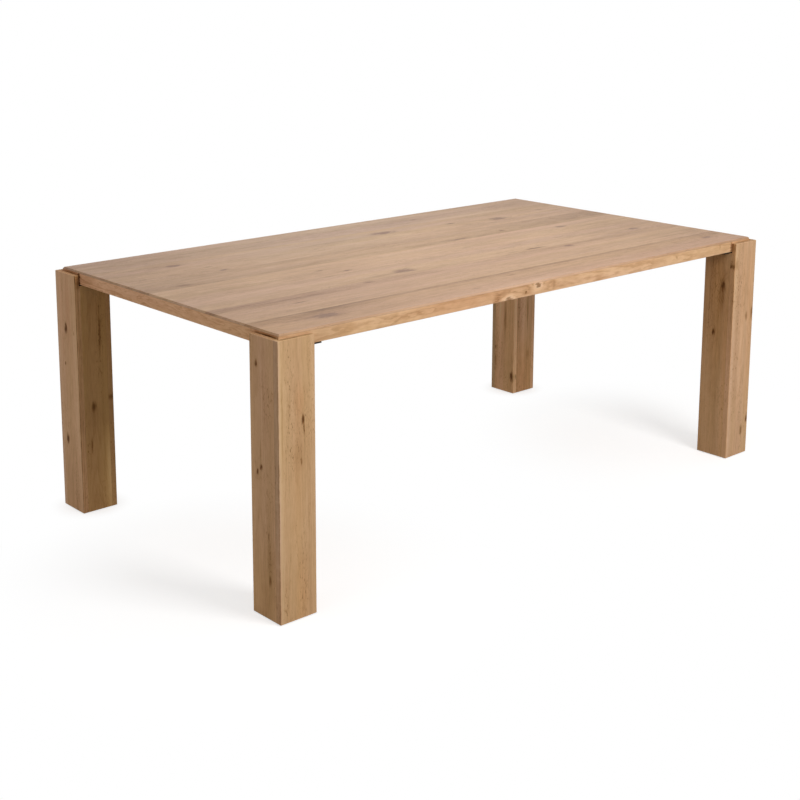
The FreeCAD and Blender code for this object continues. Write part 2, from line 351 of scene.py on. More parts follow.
@dataclass(frozen=True)
class Cut:
    """How a board was sawn: where the pith of the tree lies from the board's middle, and its rings."""

    pith_across: float = 0.0
    pith_depth: float = -0.07
    ring_width: float = 0.0042
    taper: float = 0.016


@dataclass(frozen=True)
class OakBoard:
    """One oak board of the table, as its finish needs it."""

    node: str
    lay: Lay
    tone: Tone = Tone.FAIR
    cut: Cut = Cut()
    shift: float = 0.0
    marks: tuple[Mark, ...] = ()

    def middle_and_half(self) -> tuple[Vector, Vector]:
        """The middle and half the size of the board, along, across and through it."""
        low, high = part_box(self.node)
        order = self.lay.value
        middle = (low + high) / 2
        half = (high - low) / 2
        return Vector([middle[axis] for axis in order]), Vector([half[axis] for axis in order])

    def marks_of(self, kind: type[SomeMark]) -> list[SomeMark]:
        """The board's marks of one kind."""
        return [mark for mark in self.marks if isinstance(mark, kind)]


@dataclass(frozen=True)
class BoardSpace:
    """A board on its material's sheet, with the points that grain and marks are read at."""

    sheet: NodeSheet
    board: OakBoard
    half: Vector
    place: Signal
    marked: Signal

    def distance(self, mark: Mark, stretch: Pair = (1.0, 1.0)) -> Signal:
        """Distance from a mark's middle, 1 on its outline.

        Args:
            mark: The mark.
            stretch: How far it is drawn out along and across the grain.

        Returns:
            The distance.
        """
        along = (2 * mark.along_share - 1) * self.half[0]
        across = (2 * mark.across_share - 1) * self.half[1]
        scale = (1 / (stretch[0] * mark.half_length), 1 / (stretch[1] * mark.half_width), 0.0)
        back = (-along * scale[0], -across * scale[1], 0.0)
        offset = self.sheet.vector("MULTIPLY_ADD", self.marked, scale, back)
        return self.sheet.vector("LENGTH", offset, output="Value")

    def cover(self, mark: Mark) -> Signal:
        """Mask of a soft mark, 1 in its middle and 0 past its outline."""
        return self.sheet.smooth(self.distance(mark), *Step.COVER)

    def nearest_knot(self, stretch: Pair = (1.0, 1.0)) -> Signal | None:
        """Distance to the nearest knot, or None where the board has none."""
        nearest = None
        for knot in self.board.marks_of(Knot):
            distance = self.distance(knot, stretch)
            nearest = distance if nearest is None else self.sheet.math("MINIMUM", nearest, distance)
        return nearest


@dataclass(frozen=True)
class Grain:
    """The patterns that one board's wood is mixed from."""

    early: Signal
    hue: Signal
    mottle: Signal
    cloud: Signal
    band: Signal
    streak: Signal
    line: Signal
    fibre: Signal
    tick: Signal
    pore: Signal


@dataclass(frozen=True)
class OakFinish:
    """Matt oiled oak, as a solid pattern of year rings, fibres, pores and knots.

    The depths say how far each part of the pattern moves the colour from the palest wood, at 0, to the
    darkest, at 1. The reliefs say how far a part lifts or sinks the surface.
    """

    name: str
    palest: Triple = (0.79, 0.53, 0.305)
    fair: Triple = (0.665, 0.415, 0.22)
    middle: Triple = (0.515, 0.302, 0.145)
    deep: Triple = (0.335, 0.178, 0.072)
    darkest: Triple = (0.15, 0.068, 0.022)
    stop_places: tuple[float, ...] = (0.0, 0.3, 0.55, 0.78, 1.0)
    knot_rim: Triple = (0.265, 0.114, 0.034)
    knot_heart: Triple = (0.095, 0.031, 0.008)
    olive: Triple = (1.005, 1.005, 0.94)
    mauve: Triple = (0.995, 0.975, 1.01)
    hue_span: Pair = (0.38, 0.62)
    base_depth: float = 0.3
    ring_depth: float = 0.06
    ring_level: float = 0.4
    mottle_depth: float = 0.16
    cloud_depth: float = 0.3
    band_depth: float = 0.26
    streak_depth: float = 0.16
    line_depth: float = 0.2
    fibre_depth: float = 0.34
    tick_depth: float = 0.42
    pore_depth: float = 0.12
    joint_depth: float = 0.25
    joint_width: float = 0.0012
    end_depth: float = 0.3
    # Painted highlight and painted shade on eased edges: eased facets that face up turn paler and upright
    # ones darker, as light from above shows them.
    arris_painted_light: float = -0.83
    arris_light_pivot: float = 0.25
    smudge_floor: float = 0.45
    joint_floor: float = 0.3
    shortness: float = 1.0
    curl: float = 0.0
    sway: float = 0.03
    wobble: float = 0.006
    slant: float = 0.4
    unevenness: float = 1.4
    year_scale: float = 0.6
    pores_in_late_wood: float = 0.35
    mark_sway: Pair = (0.016, 0.006)
    knot_swell: float = 0.012
    knot_raggedness: float = 2.2
    knot_smear: Pair = (2.8, 1.6)
    smear_share: float = 0.5
    haze_strength: float = 0.75
    knot_strength: float = 0.69
    specular: float = 0.03
    roughness: float = 0.55
    streak_roughness: float = 0.16
    pore_roughness: float = 0.1
    arris_roughness: float = 0.3
    fibre_relief: float = 0.5
    pore_relief: float = 0.7
    ring_relief: float = 0.25
    knot_relief: float = 0.6
    relief_strength: float = 0.35
    relief_height: float = 0.5 * MILLIMETRE

    def dress(self, board: OakBoard) -> None:
        """Gives a board its own oak."""
        material, sheet = new_sheet(f"{self.name}_{board.node}")
        space = self._space(sheet, board)
        nearest = space.nearest_knot()
        grain = self._grain(space, nearest)

        eased, level = self._eased(sheet)
        depth = self._plain_depth(grain) + self._end_grain(space)
        # Painted highlight on eased edges that face up, painted shade on upright ones.
        depth = depth + self.arris_painted_light * eased * (level - self.arris_light_pivot)
        for smudge in board.marks_of(Smudge):
            depth = depth + smudge.depth * space.cover(smudge) * (self.smudge_floor + grain.streak)
        depth = depth + self._edge_depth(space) * (self.joint_floor + grain.streak)
        colour = sheet.ramp(self._stops(board.tone), depth)
        hue = sheet.ramp(list(zip(self.hue_span, (self.olive, self.mauve))), grain.hue)
        colour = sheet.blend(1.0, colour, hue, "MULTIPLY")
        for blush in board.marks_of(Blush):
            colour = sheet.blend(space.cover(blush), colour, opaque(blush.tint), "MULTIPLY")
        height = self.fibre_relief * grain.fibre - self.pore_relief * grain.pore
        height = height - self.ring_relief * grain.early
        if nearest is not None:
            colour, heart = self._knotted(space, colour, nearest, grain.line)
            height = height - self.knot_relief * heart
        rough = self.roughness + self.streak_roughness * (grain.streak - NOISE_MIDDLE)
        shader = sheet.surface(
            {
                "Base Color": colour,
                "Roughness": rough + self.pore_roughness * grain.pore + self.arris_roughness * eased,
                "Specular IOR Level": self.specular,
                "Normal": sheet.bump(height, self.relief_strength, self.relief_height),
            }
        )
        sheet.end("Material", shader)
        set_material(board.node, material)

    def _stops(self, tone: Tone) -> Stops:
        """The colours of the wood from pale to dark, tinted for one board."""
        colours = (self.palest, self.fair, self.middle, self.deep, self.darkest)
        tints = [tuple(part * share for part, share in zip(colour, tone.value)) for colour in colours]
        return list(zip(self.stop_places, tints))

    def _space(self, sheet: NodeSheet, board: OakBoard) -> BoardSpace:
        """The points of a board from its middle, plain and moved for the uneven outlines of marks."""
        middle, half = board.middle_and_half()
        parts = sheet.split(sheet.object_place())
        place = sheet.join(*(parts[axis] - offset for axis, offset in zip(board.lay.value, middle)))
        wander = sheet.noise(place, Weave.WANDER, board.shift, 3.0, "Color")
        reach = (*self.mark_sway, 0.0)
        back = tuple(-part / 2 for part in reach)
        marked = sheet.vector("ADD", place, sheet.vector("MULTIPLY_ADD", wander, reach, back))
        return BoardSpace(sheet, board, half, place, marked)

    def _grain(self, space: BoardSpace, nearest: Signal | None) -> Grain:
        """The grain of a board, which follows the rings round the pith.

        Args:
            space: The board with its points.
            nearest: Distance to the nearest knot, which the rings flow round.

        Returns:
            The patterns of the grain.
        """
        sheet = space.sheet
        cut = space.board.cut
        shift = space.board.shift
        sway = sheet.noise(space.place, Weave.SWAY, shift, output="Color")
        reach = (0.0, self.sway, self.sway)
        back = (0.0, -cut.pith_across - self.sway / 2, -cut.pith_depth - self.sway / 2)
        moved = sheet.vector("ADD", space.place, sheet.vector("MULTIPLY_ADD", sway, reach, back))
        flat = sheet.vector("MULTIPLY", moved, (0.0, 1.0, 1.0))
        along, across, through = sheet.split(moved)
        radius = sheet.vector("LENGTH", flat, output="Value") + cut.taper * along
        radius = radius + self.wobble * sheet.noise(space.place, Weave.WOBBLE, shift)
        if self.curl:
            radius = radius + self.curl * sheet.noise(space.place, Weave.CURL, shift + CURL_SHIFT)
        if nearest is not None:
            radius = radius + self.knot_swell * sheet.smooth(nearest, *Step.SWELL)
        years = radius / cut.ring_width
        uneven = sheet.node("TexNoise", {"noise_dimensions": "1D"}, {"W": years, "Scale": self.year_scale})
        phase = sheet.math("FRACT", years + self.unevenness * uneven)
        early = sheet.smooth(phase, *Step.RING_END) * sheet.smooth(phase, *Step.RING_START)
        flow = sheet.join(along, across + self.slant * radius, through)

        def pattern(weave: Weave, detail: float = 2.0, more: float = 0.0, shortness: float = 1.0) -> Signal:
            """Noise that follows the rings."""
            scale = (weave[0] * shortness, weave[1], weave[2])
            return sheet.noise(flow, scale, shift + more, detail)

        tick = sheet.smooth(pattern(Weave.TICK), *Step.TICK)
        pore = sheet.smooth(pattern(Weave.PORE, 1.0), *Step.PORE)
        return Grain(
            early,
            pattern(Weave.HUE, more=HUE_SHIFT),
            pattern(Weave.MOTTLE, 3.0),
            pattern(Weave.CLOUD),
            pattern(Weave.BAND, shortness=self.shortness),
            pattern(Weave.STREAK, shortness=self.shortness),
            pattern(Weave.LINE, shortness=self.shortness),
            pattern(Weave.FIBRE),
            tick * sheet.smooth(pattern(Weave.FLOCK, more=FLOCK_SHIFT), *Step.FLOCK),
            pore * (self.pores_in_late_wood + (1 - self.pores_in_late_wood) * early),
        )

    def _plain_depth(self, grain: Grain) -> Signal:
        """The depth of the wood's colour without its marks."""
        depth = self.base_depth + self.ring_depth * (grain.early - self.ring_level)
        for amount, noise in (
            (self.mottle_depth, grain.mottle),
            (self.cloud_depth, grain.cloud),
            (self.band_depth, grain.band),
            (self.streak_depth, grain.streak),
            (self.line_depth, grain.line),
            (self.fibre_depth, grain.fibre),
        ):
            depth = depth + amount * (noise - NOISE_MIDDLE)
        return depth + self.tick_depth * grain.tick + self.pore_depth * grain.pore

    def _end_grain(self, space: BoardSpace) -> Signal:
        """Depth that is added where a face cuts through the grain."""
        sheet = space.sheet
        axis = tuple(float(index == space.board.lay.value[0]) for index in range(3))
        cut_end = abs(sheet.vector("DOT_PRODUCT", sheet.facing(), axis, output="Value"))
        return self.end_depth * sheet.smooth(cut_end, *Step.END_GRAIN)

    @staticmethod
    def _eased(sheet: NodeSheet) -> tuple[Signal, Signal]:
        """1 on eased edges, whose facets lie along no axis, and how far a facet is from upright."""
        first, second, third = sheet.split(sheet.vector("ABSOLUTE", sheet.facing()))
        most = sheet.math("MAXIMUM", first, sheet.math("MAXIMUM", second, third))
        return sheet.smooth(most, *Step.EASED), third

    def _edge_depth(self, space: BoardSpace) -> Signal:
        """Depth of the fine dark line along the board's edges."""
        sheet = space.sheet
        _, across, through = sheet.split(space.place)
        edge = sheet.math("MAXIMUM", space.half[1] - abs(across), space.half[2] - abs(through))
        return self.joint_depth * sheet.smooth(edge, self.joint_width, self.joint_width / 4)

    def _knotted(
        self, space: BoardSpace, colour: Signal, nearest: Signal, line: Signal
    ) -> tuple[Signal, Signal]:
        """Sets the knots in the wood.

        Args:
            space: The board with its points.
            colour: Colour of the wood without knots.
            nearest: Distance to the nearest knot.
            line: Noise in fine lines, in which the knots smear.

        Returns:
            The colour with the knots, and the mask of their hearts.
        """
        sheet = space.sheet
        rough = sheet.noise(space.place, Weave.KNOT, space.board.shift, 4.0)
        ragged = nearest + self.knot_raggedness * (rough - NOISE_MIDDLE)
        smear = sheet.smooth(space.nearest_knot(self.knot_smear), *Step.SMEAR)
        drawn = smear * sheet.smooth(line, *Step.SMEAR_LINE)
        haze = sheet.smooth(ragged, *Step.HAZE)
        heart = sheet.smooth(ragged, *Step.HEART)
        rim = opaque(self.knot_rim)
        colour = sheet.blend(self.smear_share * self.haze_strength * drawn, colour, rim)
        colour = sheet.blend(self.haze_strength * haze, colour, rim)
        return sheet.blend(self.knot_strength * heart, colour, opaque(self.knot_heart)), heart


# Finishes of the other pieces


@dataclass(frozen=True)
class PlainFinish:
    """A finish that needs nothing of the piece that wears it."""

    name: str

    def sockets(self, sheet: NodeSheet, place: Signal) -> dict[str, Term]:
        """What the surface's sockets hold."""
        raise NotImplementedError

    def material(self) -> bpy.types.Material:
        """The finish as a material."""
        material, sheet = new_sheet(self.name)
        sheet.end("Material", sheet.surface(self.sockets(sheet, sheet.object_place())))
        return material


@dataclass(frozen=True)
class WornCoat(PlainFinish):
    """A dark coat or plastic with a fine grain, paler where it is worn."""

    colour: Triple
    worn: Triple
    grain_scale: float
    grain_detail: float
    wear_scale: Triple
    wear_shift: float
    wear_span: Pair
    roughness: float
    grain_roughness: float
    wear_roughness: float
    specular: float
    relief: Pair

    def sockets(self, sheet: NodeSheet, place: Signal) -> dict[str, Term]:
        """The coat with its grain and worn patches."""
        grain = sheet.noise(place, (self.grain_scale,) * 3, 0.0, self.grain_detail)
        wear = sheet.smooth(sheet.noise(place, self.wear_scale, self.wear_shift, 3.0), *self.wear_span)
        return {
            "Base Color": sheet.blend(wear, opaque(self.colour), opaque(self.worn)),
            "Roughness": self.roughness + self.grain_roughness * grain + self.wear_roughness * wear,
            "Specular IOR Level": self.specular,
            "Normal": sheet.bump(grain, *self.relief),
        }


POWDER_COAT = WornCoat(
    "black_powder_coat",
    colour=(0.028, 0.021, 0.015),
    worn=(0.052, 0.043, 0.034),
    grain_scale=900.0,
    grain_detail=2.0,
    wear_scale=(30.0, 30.0, 30.0),
    wear_shift=3.0,
    wear_span=(0.52, 0.75),
    roughness=0.58,
    grain_roughness=0.12,
    wear_roughness=0.1,
    specular=0.05,
    relief=(0.4, 0.2 * MILLIMETRE),
)
MOULDED_NYLON = WornCoat(
    "dark_nylon",
    colour=(0.03, 0.024, 0.021),
    worn=(0.085, 0.072, 0.064),
    grain_scale=1400.0,
    grain_detail=1.0,
    wear_scale=(45.0, 260.0, 60.0),
    wear_shift=5.0,
    wear_span=(0.55, 0.72),
    roughness=0.55,
    grain_roughness=0.15,
    wear_roughness=0.0,
    specular=0.5,
    relief=(0.3, 0.1 * MILLIMETRE),
)


@dataclass(frozen=True)
class PlatedSteel(PlainFinish):
    """Bare metal of fasteners, zinc plated or blackened, with turning marks and stains."""

    bright: Triple
    dull: Triple
    roughness: float
    stain_scale: Triple = (160.0, 160.0, 160.0)
    turning_scale: Triple = (400.0, 400.0, 5200.0)
    stain_roughness: float = 0.18
    turning_roughness: float = 0.08
    relief: Pair = (0.15, 0.05 * MILLIMETRE)

    def sockets(self, sheet: NodeSheet, place: Signal) -> dict[str, Term]:
        """The metal with its stains and marks."""
        stain = sheet.noise(place, self.stain_scale, 1.0, 3.0)
        turning = sheet.noise(place, self.turning_scale, 2.0)
        rough = self.roughness + self.stain_roughness * (stain - NOISE_MIDDLE)
        return {
            "Base Color": sheet.blend(stain, opaque(self.bright), opaque(self.dull)),
            "Metallic": 1.0,
            "Roughness": rough + self.turning_roughness * (turning - NOISE_MIDDLE),
            "Normal": sheet.bump(turning, *self.relief),
        }


@dataclass(frozen=True)
class Chipboard(PlainFinish):
    """Raw chips pressed into a core board."""

    name: str = "chipboard"
    pale: Triple = (0.56, 0.43, 0.29)
    deep: Triple = (0.26, 0.17, 0.1)
    chips_per_metre: float = 210.0
    dust_scale: Triple = (500.0, 500.0, 900.0)
    chip_share: float = 0.55
    dust_share: float = 0.45
    roughness: float = 0.75
    dust_roughness: float = 0.15
    relief: Pair = (0.4, 0.3 * MILLIMETRE)

    def sockets(self, sheet: NodeSheet, place: Signal) -> dict[str, Term]:
        """The board with its chips and dust."""
        cells = {"Vector": place, "Scale": self.chips_per_metre, "Randomness": 1.0}
        chip = sheet.node("RGBToBW", {}, {0: sheet.node("TexVoronoi", {}, cells, "Color")})
        dust = sheet.noise(place, self.dust_scale, 0.0, 3.0)
        mixed = self.chip_share * chip + self.dust_share * dust
        return {
            "Base Color": sheet.blend(mixed, opaque(self.pale), opaque(self.deep)),
            "Roughness": self.roughness + self.dust_roughness * dust,
            "Normal": sheet.bump(chip + dust, *self.relief),
        }


# The table's sub-assemblies


@dataclass(frozen=True)
class Tabletop:
    """The top: face boards on a core, a balancing layer under it and lippings round it."""

    boards: tuple[OakBoard, ...]
    lippings: tuple[OakBoard, ...]
    finish: OakFinish = OakFinish(
        "oak_face",
        palest=(0.77, 0.525, 0.346),
        fair=(0.64, 0.41, 0.253),
        middle=(0.49, 0.297, 0.176),
        deep=(0.32, 0.18, 0.099),
        darkest=(0.16, 0.082, 0.046),
        knot_rim=(0.38, 0.212, 0.136),
        knot_heart=(0.16, 0.076, 0.05),
        base_depth=0.35,
        cloud_depth=0.4,
        band_depth=0.22,
        streak_depth=0.19,
        line_depth=0.22,
        fibre_depth=0.36,
        tick_depth=0.24,
        shortness=2.2,
        joint_depth=0.13,
        joint_width=0.002,
        end_depth=0.1,
        arris_painted_light=0.0,
        haze_strength=0.42,
        knot_strength=0.5,
        specular=0.3,
        roughness=0.5,
    )
    lipping_finish: OakFinish = OakFinish(
        "oak_lipping",
        palest=(0.83, 0.555, 0.32),
        fair=(0.665, 0.405, 0.215),
        middle=(0.52, 0.29, 0.14),
        knot_rim=(0.94, 0.63, 0.4),
        knot_heart=(0.34, 0.175, 0.08),
        base_depth=0.2,
        ring_depth=0.2,
        mottle_depth=0.46,
        tick_depth=0.1,
        curl=0.014,
        joint_depth=0.05,
        haze_strength=0.85,
        knot_strength=0.85,
    )
    balance_finish: OakFinish = OakFinish("balance_veneer", base_depth=0.42, joint_depth=0.0)

    def dress(self) -> None:
        """Gives every piece of the top its finish."""
        for board in self.boards:
            self.finish.dress(board)
        for board in self.lippings:
            self.lipping_finish.dress(board)
        balance = OakBoard("top_balance_layer", Lay.FACE, Tone.MIDDLE, Cut(0.1, -0.2, 0.006), 41.3)
        self.balance_finish.dress(balance)
        set_material("top_core_panel", Chipboard().material())


@dataclass(frozen=True)
class Leg:
    """A box leg: four boards, the blocks inside them, a steel plate above and a glide below."""

    corner: str
    boards: tuple[OakBoard, ...]
    finish: OakFinish = OakFinish("oak_leg", joint_depth=0.18, joint_width=0.0009)
    block_finish: OakFinish = OakFinish("leg_block", roughness=0.7)

    def dress(self, plate: bpy.types.Material, glide: bpy.types.Material, shift: float) -> None:
        """Gives every piece of the leg its finish.

        Args:
            plate: Finish of the steel plate.
            glide: Finish of the glide.
            shift: Moves the pattern of the blocks.
        """
        for board in self.boards:
            self.finish.dress(board)
        for number, block in enumerate(("top_block", "foot_block")):
            node = f"{self.corner}_leg_{block}"
            self.block_finish.dress(OakBoard(node, Lay.LEG_SIDE, shift=shift + number))
        set_material(f"{self.corner}_leg_plate", plate)
        set_material(f"{self.corner}_leg_glide", glide)


@dataclass(frozen=True)
class Hardware:
    """Screws, bolts, washers, inserts and the loose tongues."""

    zinc: PlatedSteel = PlatedSteel("zinc_plate", (0.62, 0.63, 0.64), (0.47, 0.47, 0.45), 0.36)
    blackened: PlatedSteel = PlatedSteel("black_oxide", (0.06, 0.058, 0.056), (0.035, 0.033, 0.031), 0.42)
    tongue_finish: OakFinish = OakFinish("hardwood_tongue", joint_depth=0.0)

    def dress(self) -> None:
        """Gives every fastener and tongue its finish."""
        zinc = self.zinc.material()
        blackened = self.blackened.material()
        for node in ("leg_plate_screws", "leg_block_inserts", "top_fixing_inserts"):
            set_material(node, zinc)
        for node in ("top_fixing_bolts", "top_fixing_washers"):
            set_material(node, blackened)
        self.tongue_finish.dress(OakBoard("lipping_tongues", Lay.FACE, shift=113.0))
        self.tongue_finish.dress(OakBoard("leg_corner_tongues", Lay.LEG_SIDE, shift=127.0))


# The table's boards with their marks


def face_board(number: int, tone: Tone, cut: Cut, shift: float, *marks: Mark) -> OakBoard:
    """A board of the top's face, numbered from the front."""
    return OakBoard(f"top_board_{number}", Lay.FACE, tone, cut, shift, marks)


def lipping(edge: str, tone: Tone, cut: Cut, shift: float, *marks: Mark) -> OakBoard:
    """The strip along one edge of the top."""
    lay = Lay.LONG_EDGE if edge in ("front", "back") else Lay.SHORT_EDGE
    return OakBoard(f"{edge}_edge_lipping", lay, tone, cut, shift, marks)


def leg_board(piece: str, tone: Tone, cut: Cut, shift: float, *marks: Mark) -> OakBoard:
    """A board of a leg, with its lay taken from its name."""
    lay = Lay.LEG_SIDE if "side" in piece else Lay.LEG_END
    return OakBoard(f"leg_{piece}_board", lay, tone, cut, shift, marks)


def box_leg(corner: str, *boards: OakBoard) -> Leg:
    """The leg at one corner, which the names of its boards begin with."""
    return Leg(corner, tuple(replace(board, node=f"{corner}_{board.node}") for board in boards))


def tabletop() -> Tabletop:
    """The top with the marks of its boards, from the front edge to the back."""
    # The wide Smudge marks at the ends of the face boards, at along shares 0.0 and 1.0, are painted shade:
    # they darken the top towards both ends of the table, where it is lit less.
    boards = (
        face_board(
            1, Tone.HONEY, Cut(0.02, -0.09), 1.7,
            Knot(0.108, 0.565, 0.042, 0.022), Knot(0.942, 0.61, 0.024, 0.01),
            Smudge(0.37, 0.33, 0.03, 0.008, 0.3), Smudge(0.472, 0.74, 0.03, 0.006, 0.2),
            Smudge(0.08, 0.86, 0.46, 0.054, 0.27), Smudge(0.11, 0.56, 0.14, 0.04, 0.18),
            Smudge(0.55, 1.0, 1.7, 0.028, 0.26), Smudge(0.42, 0.06, 1.0, 0.034, -0.16),
            Smudge(0.96, 0.82, 0.14, 0.034, 0.16), Smudge(1.0, 0.5, 0.4, 0.14, 0.15),
            Smudge(0.4, 0.0, 1.1, 0.007, -0.16), Smudge(0.03, 0.0, 0.16, 0.012, -0.12),
            Blush(0.4, 0.5, 0.55, 0.14, (1.02, 1.03, 1.03)), Blush(0.0, 0.5, 0.3, 0.14, (1.01, 1.0, 0.96)),
        ),
        face_board(
            2, Tone.WHEAT, Cut(-0.03, -0.06), 4.1,
            Knot(0.71, 0.867, 0.02, 0.012),
            Smudge(0.281, 0.93, 0.028, 0.012, 0.3), Smudge(0.129, 0.54, 0.036, 0.008, 0.34),
            Smudge(0.12, 0.86, 0.6, 0.044, 0.24), Smudge(0.38, 0.86, 0.12, 0.03, 0.14),
            Smudge(0.8, 0.9, 0.7, 0.044, 0.14), Smudge(1.0, 0.5, 0.4, 0.16, 0.12),
            Smudge(0.0, 0.5, 0.5, 0.3, 0.06), Smudge(0.14, 0.32, 0.3, 0.03, -0.1),
            Smudge(0.55, 0.25, 0.6, 0.026, -0.08),
        ),
        face_board(
            3, Tone.FAIR, Cut(0.05, -0.12), 7.3,
            Knot(0.373, 0.295, 0.036, 0.022), Knot(0.915, 0.274, 0.022, 0.013),
            Smudge(0.651, 0.135, 0.075, 0.01, 0.54), Smudge(0.6, 0.14, 0.04, 0.01, 0.18),
            Smudge(0.33, 0.25, 0.14, 0.016, 0.12), Smudge(0.2, 0.65, 0.4, 0.03, -0.08),
            Smudge(1.0, 0.5, 0.6, 0.3, 0.1),
        ),
        face_board(
            4, Tone.PALE, Cut(-0.01, -0.05), 10.9,
            Knot(0.831, 0.67, 0.026, 0.01), Knot(0.308, 0.172, 0.016, 0.007),
            Smudge(0.275, 0.507, 0.022, 0.009, 0.3), Smudge(0.427, 0.217, 0.03, 0.012, 0.14),
            Smudge(0.1, 0.35, 0.2, 0.04, 0.08), Smudge(0.3, 0.17, 0.08, 0.008, 0.14),
            Smudge(0.6, 0.85, 0.8, 0.026, -0.08), Smudge(0.0, 0.5, 0.4, 0.3, 0.08),
            Smudge(1.0, 0.5, 0.6, 0.3, 0.1),
        ),
        face_board(
            5, Tone.MIDDLE, Cut(0.04, -0.1), 13.3,
            Knot(0.61, 0.125, 0.04, 0.006),
            Smudge(0.724, 0.255, 0.016, 0.018, 0.34), Smudge(0.068, 0.196, 0.04, 0.022, 0.22),
            Smudge(0.6, 0.14, 0.26, 0.024, 0.2), Smudge(0.9, 0.5, 0.5, 0.07, 0.1),
            Smudge(0.963, 0.36, 0.04, 0.02, 0.1), Smudge(0.3, 0.2, 0.4, 0.03, 0.06),
            Smudge(0.0, 0.5, 0.4, 0.3, 0.14), Smudge(1.0, 0.5, 0.8, 0.3, 0.1),
        ),
        face_board(
            6, Tone.FAIR, Cut(-0.02, -0.07), 16.1,
            Knot(0.129, 0.768, 0.03, 0.013), Knot(0.172, 0.05, 0.018, 0.008),
            Knot(0.553, 0.735, 0.052, 0.018), Knot(0.807, 0.453, 0.044, 0.02),
            Smudge(0.166, 0.367, 0.022, 0.012, 0.26), Smudge(0.705, 0.636, 0.03, 0.011, 0.5),
            Smudge(0.936, 0.63, 0.03, 0.012, 0.22), Smudge(0.42, 0.64, 0.14, 0.01, 0.14),
            Smudge(0.1, 0.82, 0.3, 0.04, 0.08), Smudge(0.42, 0.3, 0.6, 0.05, -0.06),
            Smudge(0.0, 0.5, 0.5, 0.3, 0.14), Smudge(1.0, 0.5, 0.4, 0.3, 0.06),
            Blush(0.4, 0.5, 0.6, 0.25, (0.96, 0.99, 1.0)), Blush(0.5, 0.8, 0.8, 0.06, (0.98, 1.0, 1.02)),
        ),
        face_board(
            7, Tone.GREY, Cut(0.03, -0.11), 19.7,
            Smudge(0.681, 0.424, 0.026, 0.012, 0.3), Smudge(0.14, 0.45, 0.36, 0.06, 0.12),
            Smudge(0.5, 0.78, 0.8, 0.02, -0.12), Smudge(0.92, 0.45, 0.3, 0.05, 0.08),
            Smudge(0.78, 0.04, 0.45, 0.035, -0.14), Smudge(0.0, 0.5, 0.5, 0.3, 0.11),
            Blush(0.5, 0.5, 0.9, 0.25, (0.96, 0.99, 1.06)),
        ),
    )
    lippings = (
        lipping(
            "front", Tone.CREAM, Cut(0.0, -0.03, 0.009, 0.03), 23.9,
            Knot(0.474, 0.85, 0.014, 0.009), Knot(0.413, 0.04, 0.018, 0.009),
            Smudge(0.474, 0.7, 0.028, 0.018, -0.6), Smudge(0.413, 0.15, 0.036, 0.018, -0.6),
            Smudge(0.7, 0.5, 0.5, 0.06, -0.09), Smudge(0.388, 0.35, 0.024, 0.022, 0.36),
            Smudge(0.447, 0.5, 0.022, 0.016, 0.22), Smudge(0.447, 0.38, 0.007, 0.006, 0.6),
            Smudge(0.508, 0.5, 0.01, 0.022, 0.24), Smudge(0.297, 0.97, 0.1, 0.006, 0.14),
            Smudge(0.14, 0.92, 0.34, 0.01, -0.2), Smudge(0.61, 0.4, 0.03, 0.016, 0.26),
            Smudge(0.64, 0.5, 0.03, 0.02, -0.16), Smudge(0.801, 0.6, 0.007, 0.006, 0.44),
            # Smudge(0.949, ...) is a painted shadow in the gap beside the front-right leg's lip.
            Smudge(0.918, 0.75, 0.008, 0.014, 0.26), Smudge(0.949, 0.4, 0.006, 0.06, 0.5),
            Blush(0.065, 0.5, 0.12, 0.08, (0.9, 0.89, 0.9)),
            Blush(0.31, 0.5, 0.26, 0.08, (0.95, 0.88, 0.83)),
        ),
        lipping("back", Tone.CREAM, Cut(0.01, -0.05, 0.004, 0.03), 29.3),
        lipping(
            "left", Tone.AMBER, Cut(0.02, -0.09), 31.1,
            # Smudge(0.03, ...) and Smudge(0.97, ...) are painted shade on the face behind the legs' lips,
            # Smudge(0.922, ...) a painted shadow in the gap at the back-left lip, and the grey Blush(0.08,
            # ...) painted shade behind the front-left lip.
            Smudge(0.03, 0.75, 0.1, 0.016, 0.7), Smudge(0.97, 0.75, 0.08, 0.012, 0.45),
            Smudge(0.9, 0.5, 0.12, 0.06, 0.2), Smudge(0.922, 0.4, 0.009, 0.06, 1.0),
            Blush(0.08, 0.5, 0.26, 0.08, (0.91, 0.9, 0.89)),
        ),
        lipping("right", Tone.AMBER, Cut(-0.01, -0.07), 37.7),
    )
    return Tabletop(boards, lippings)


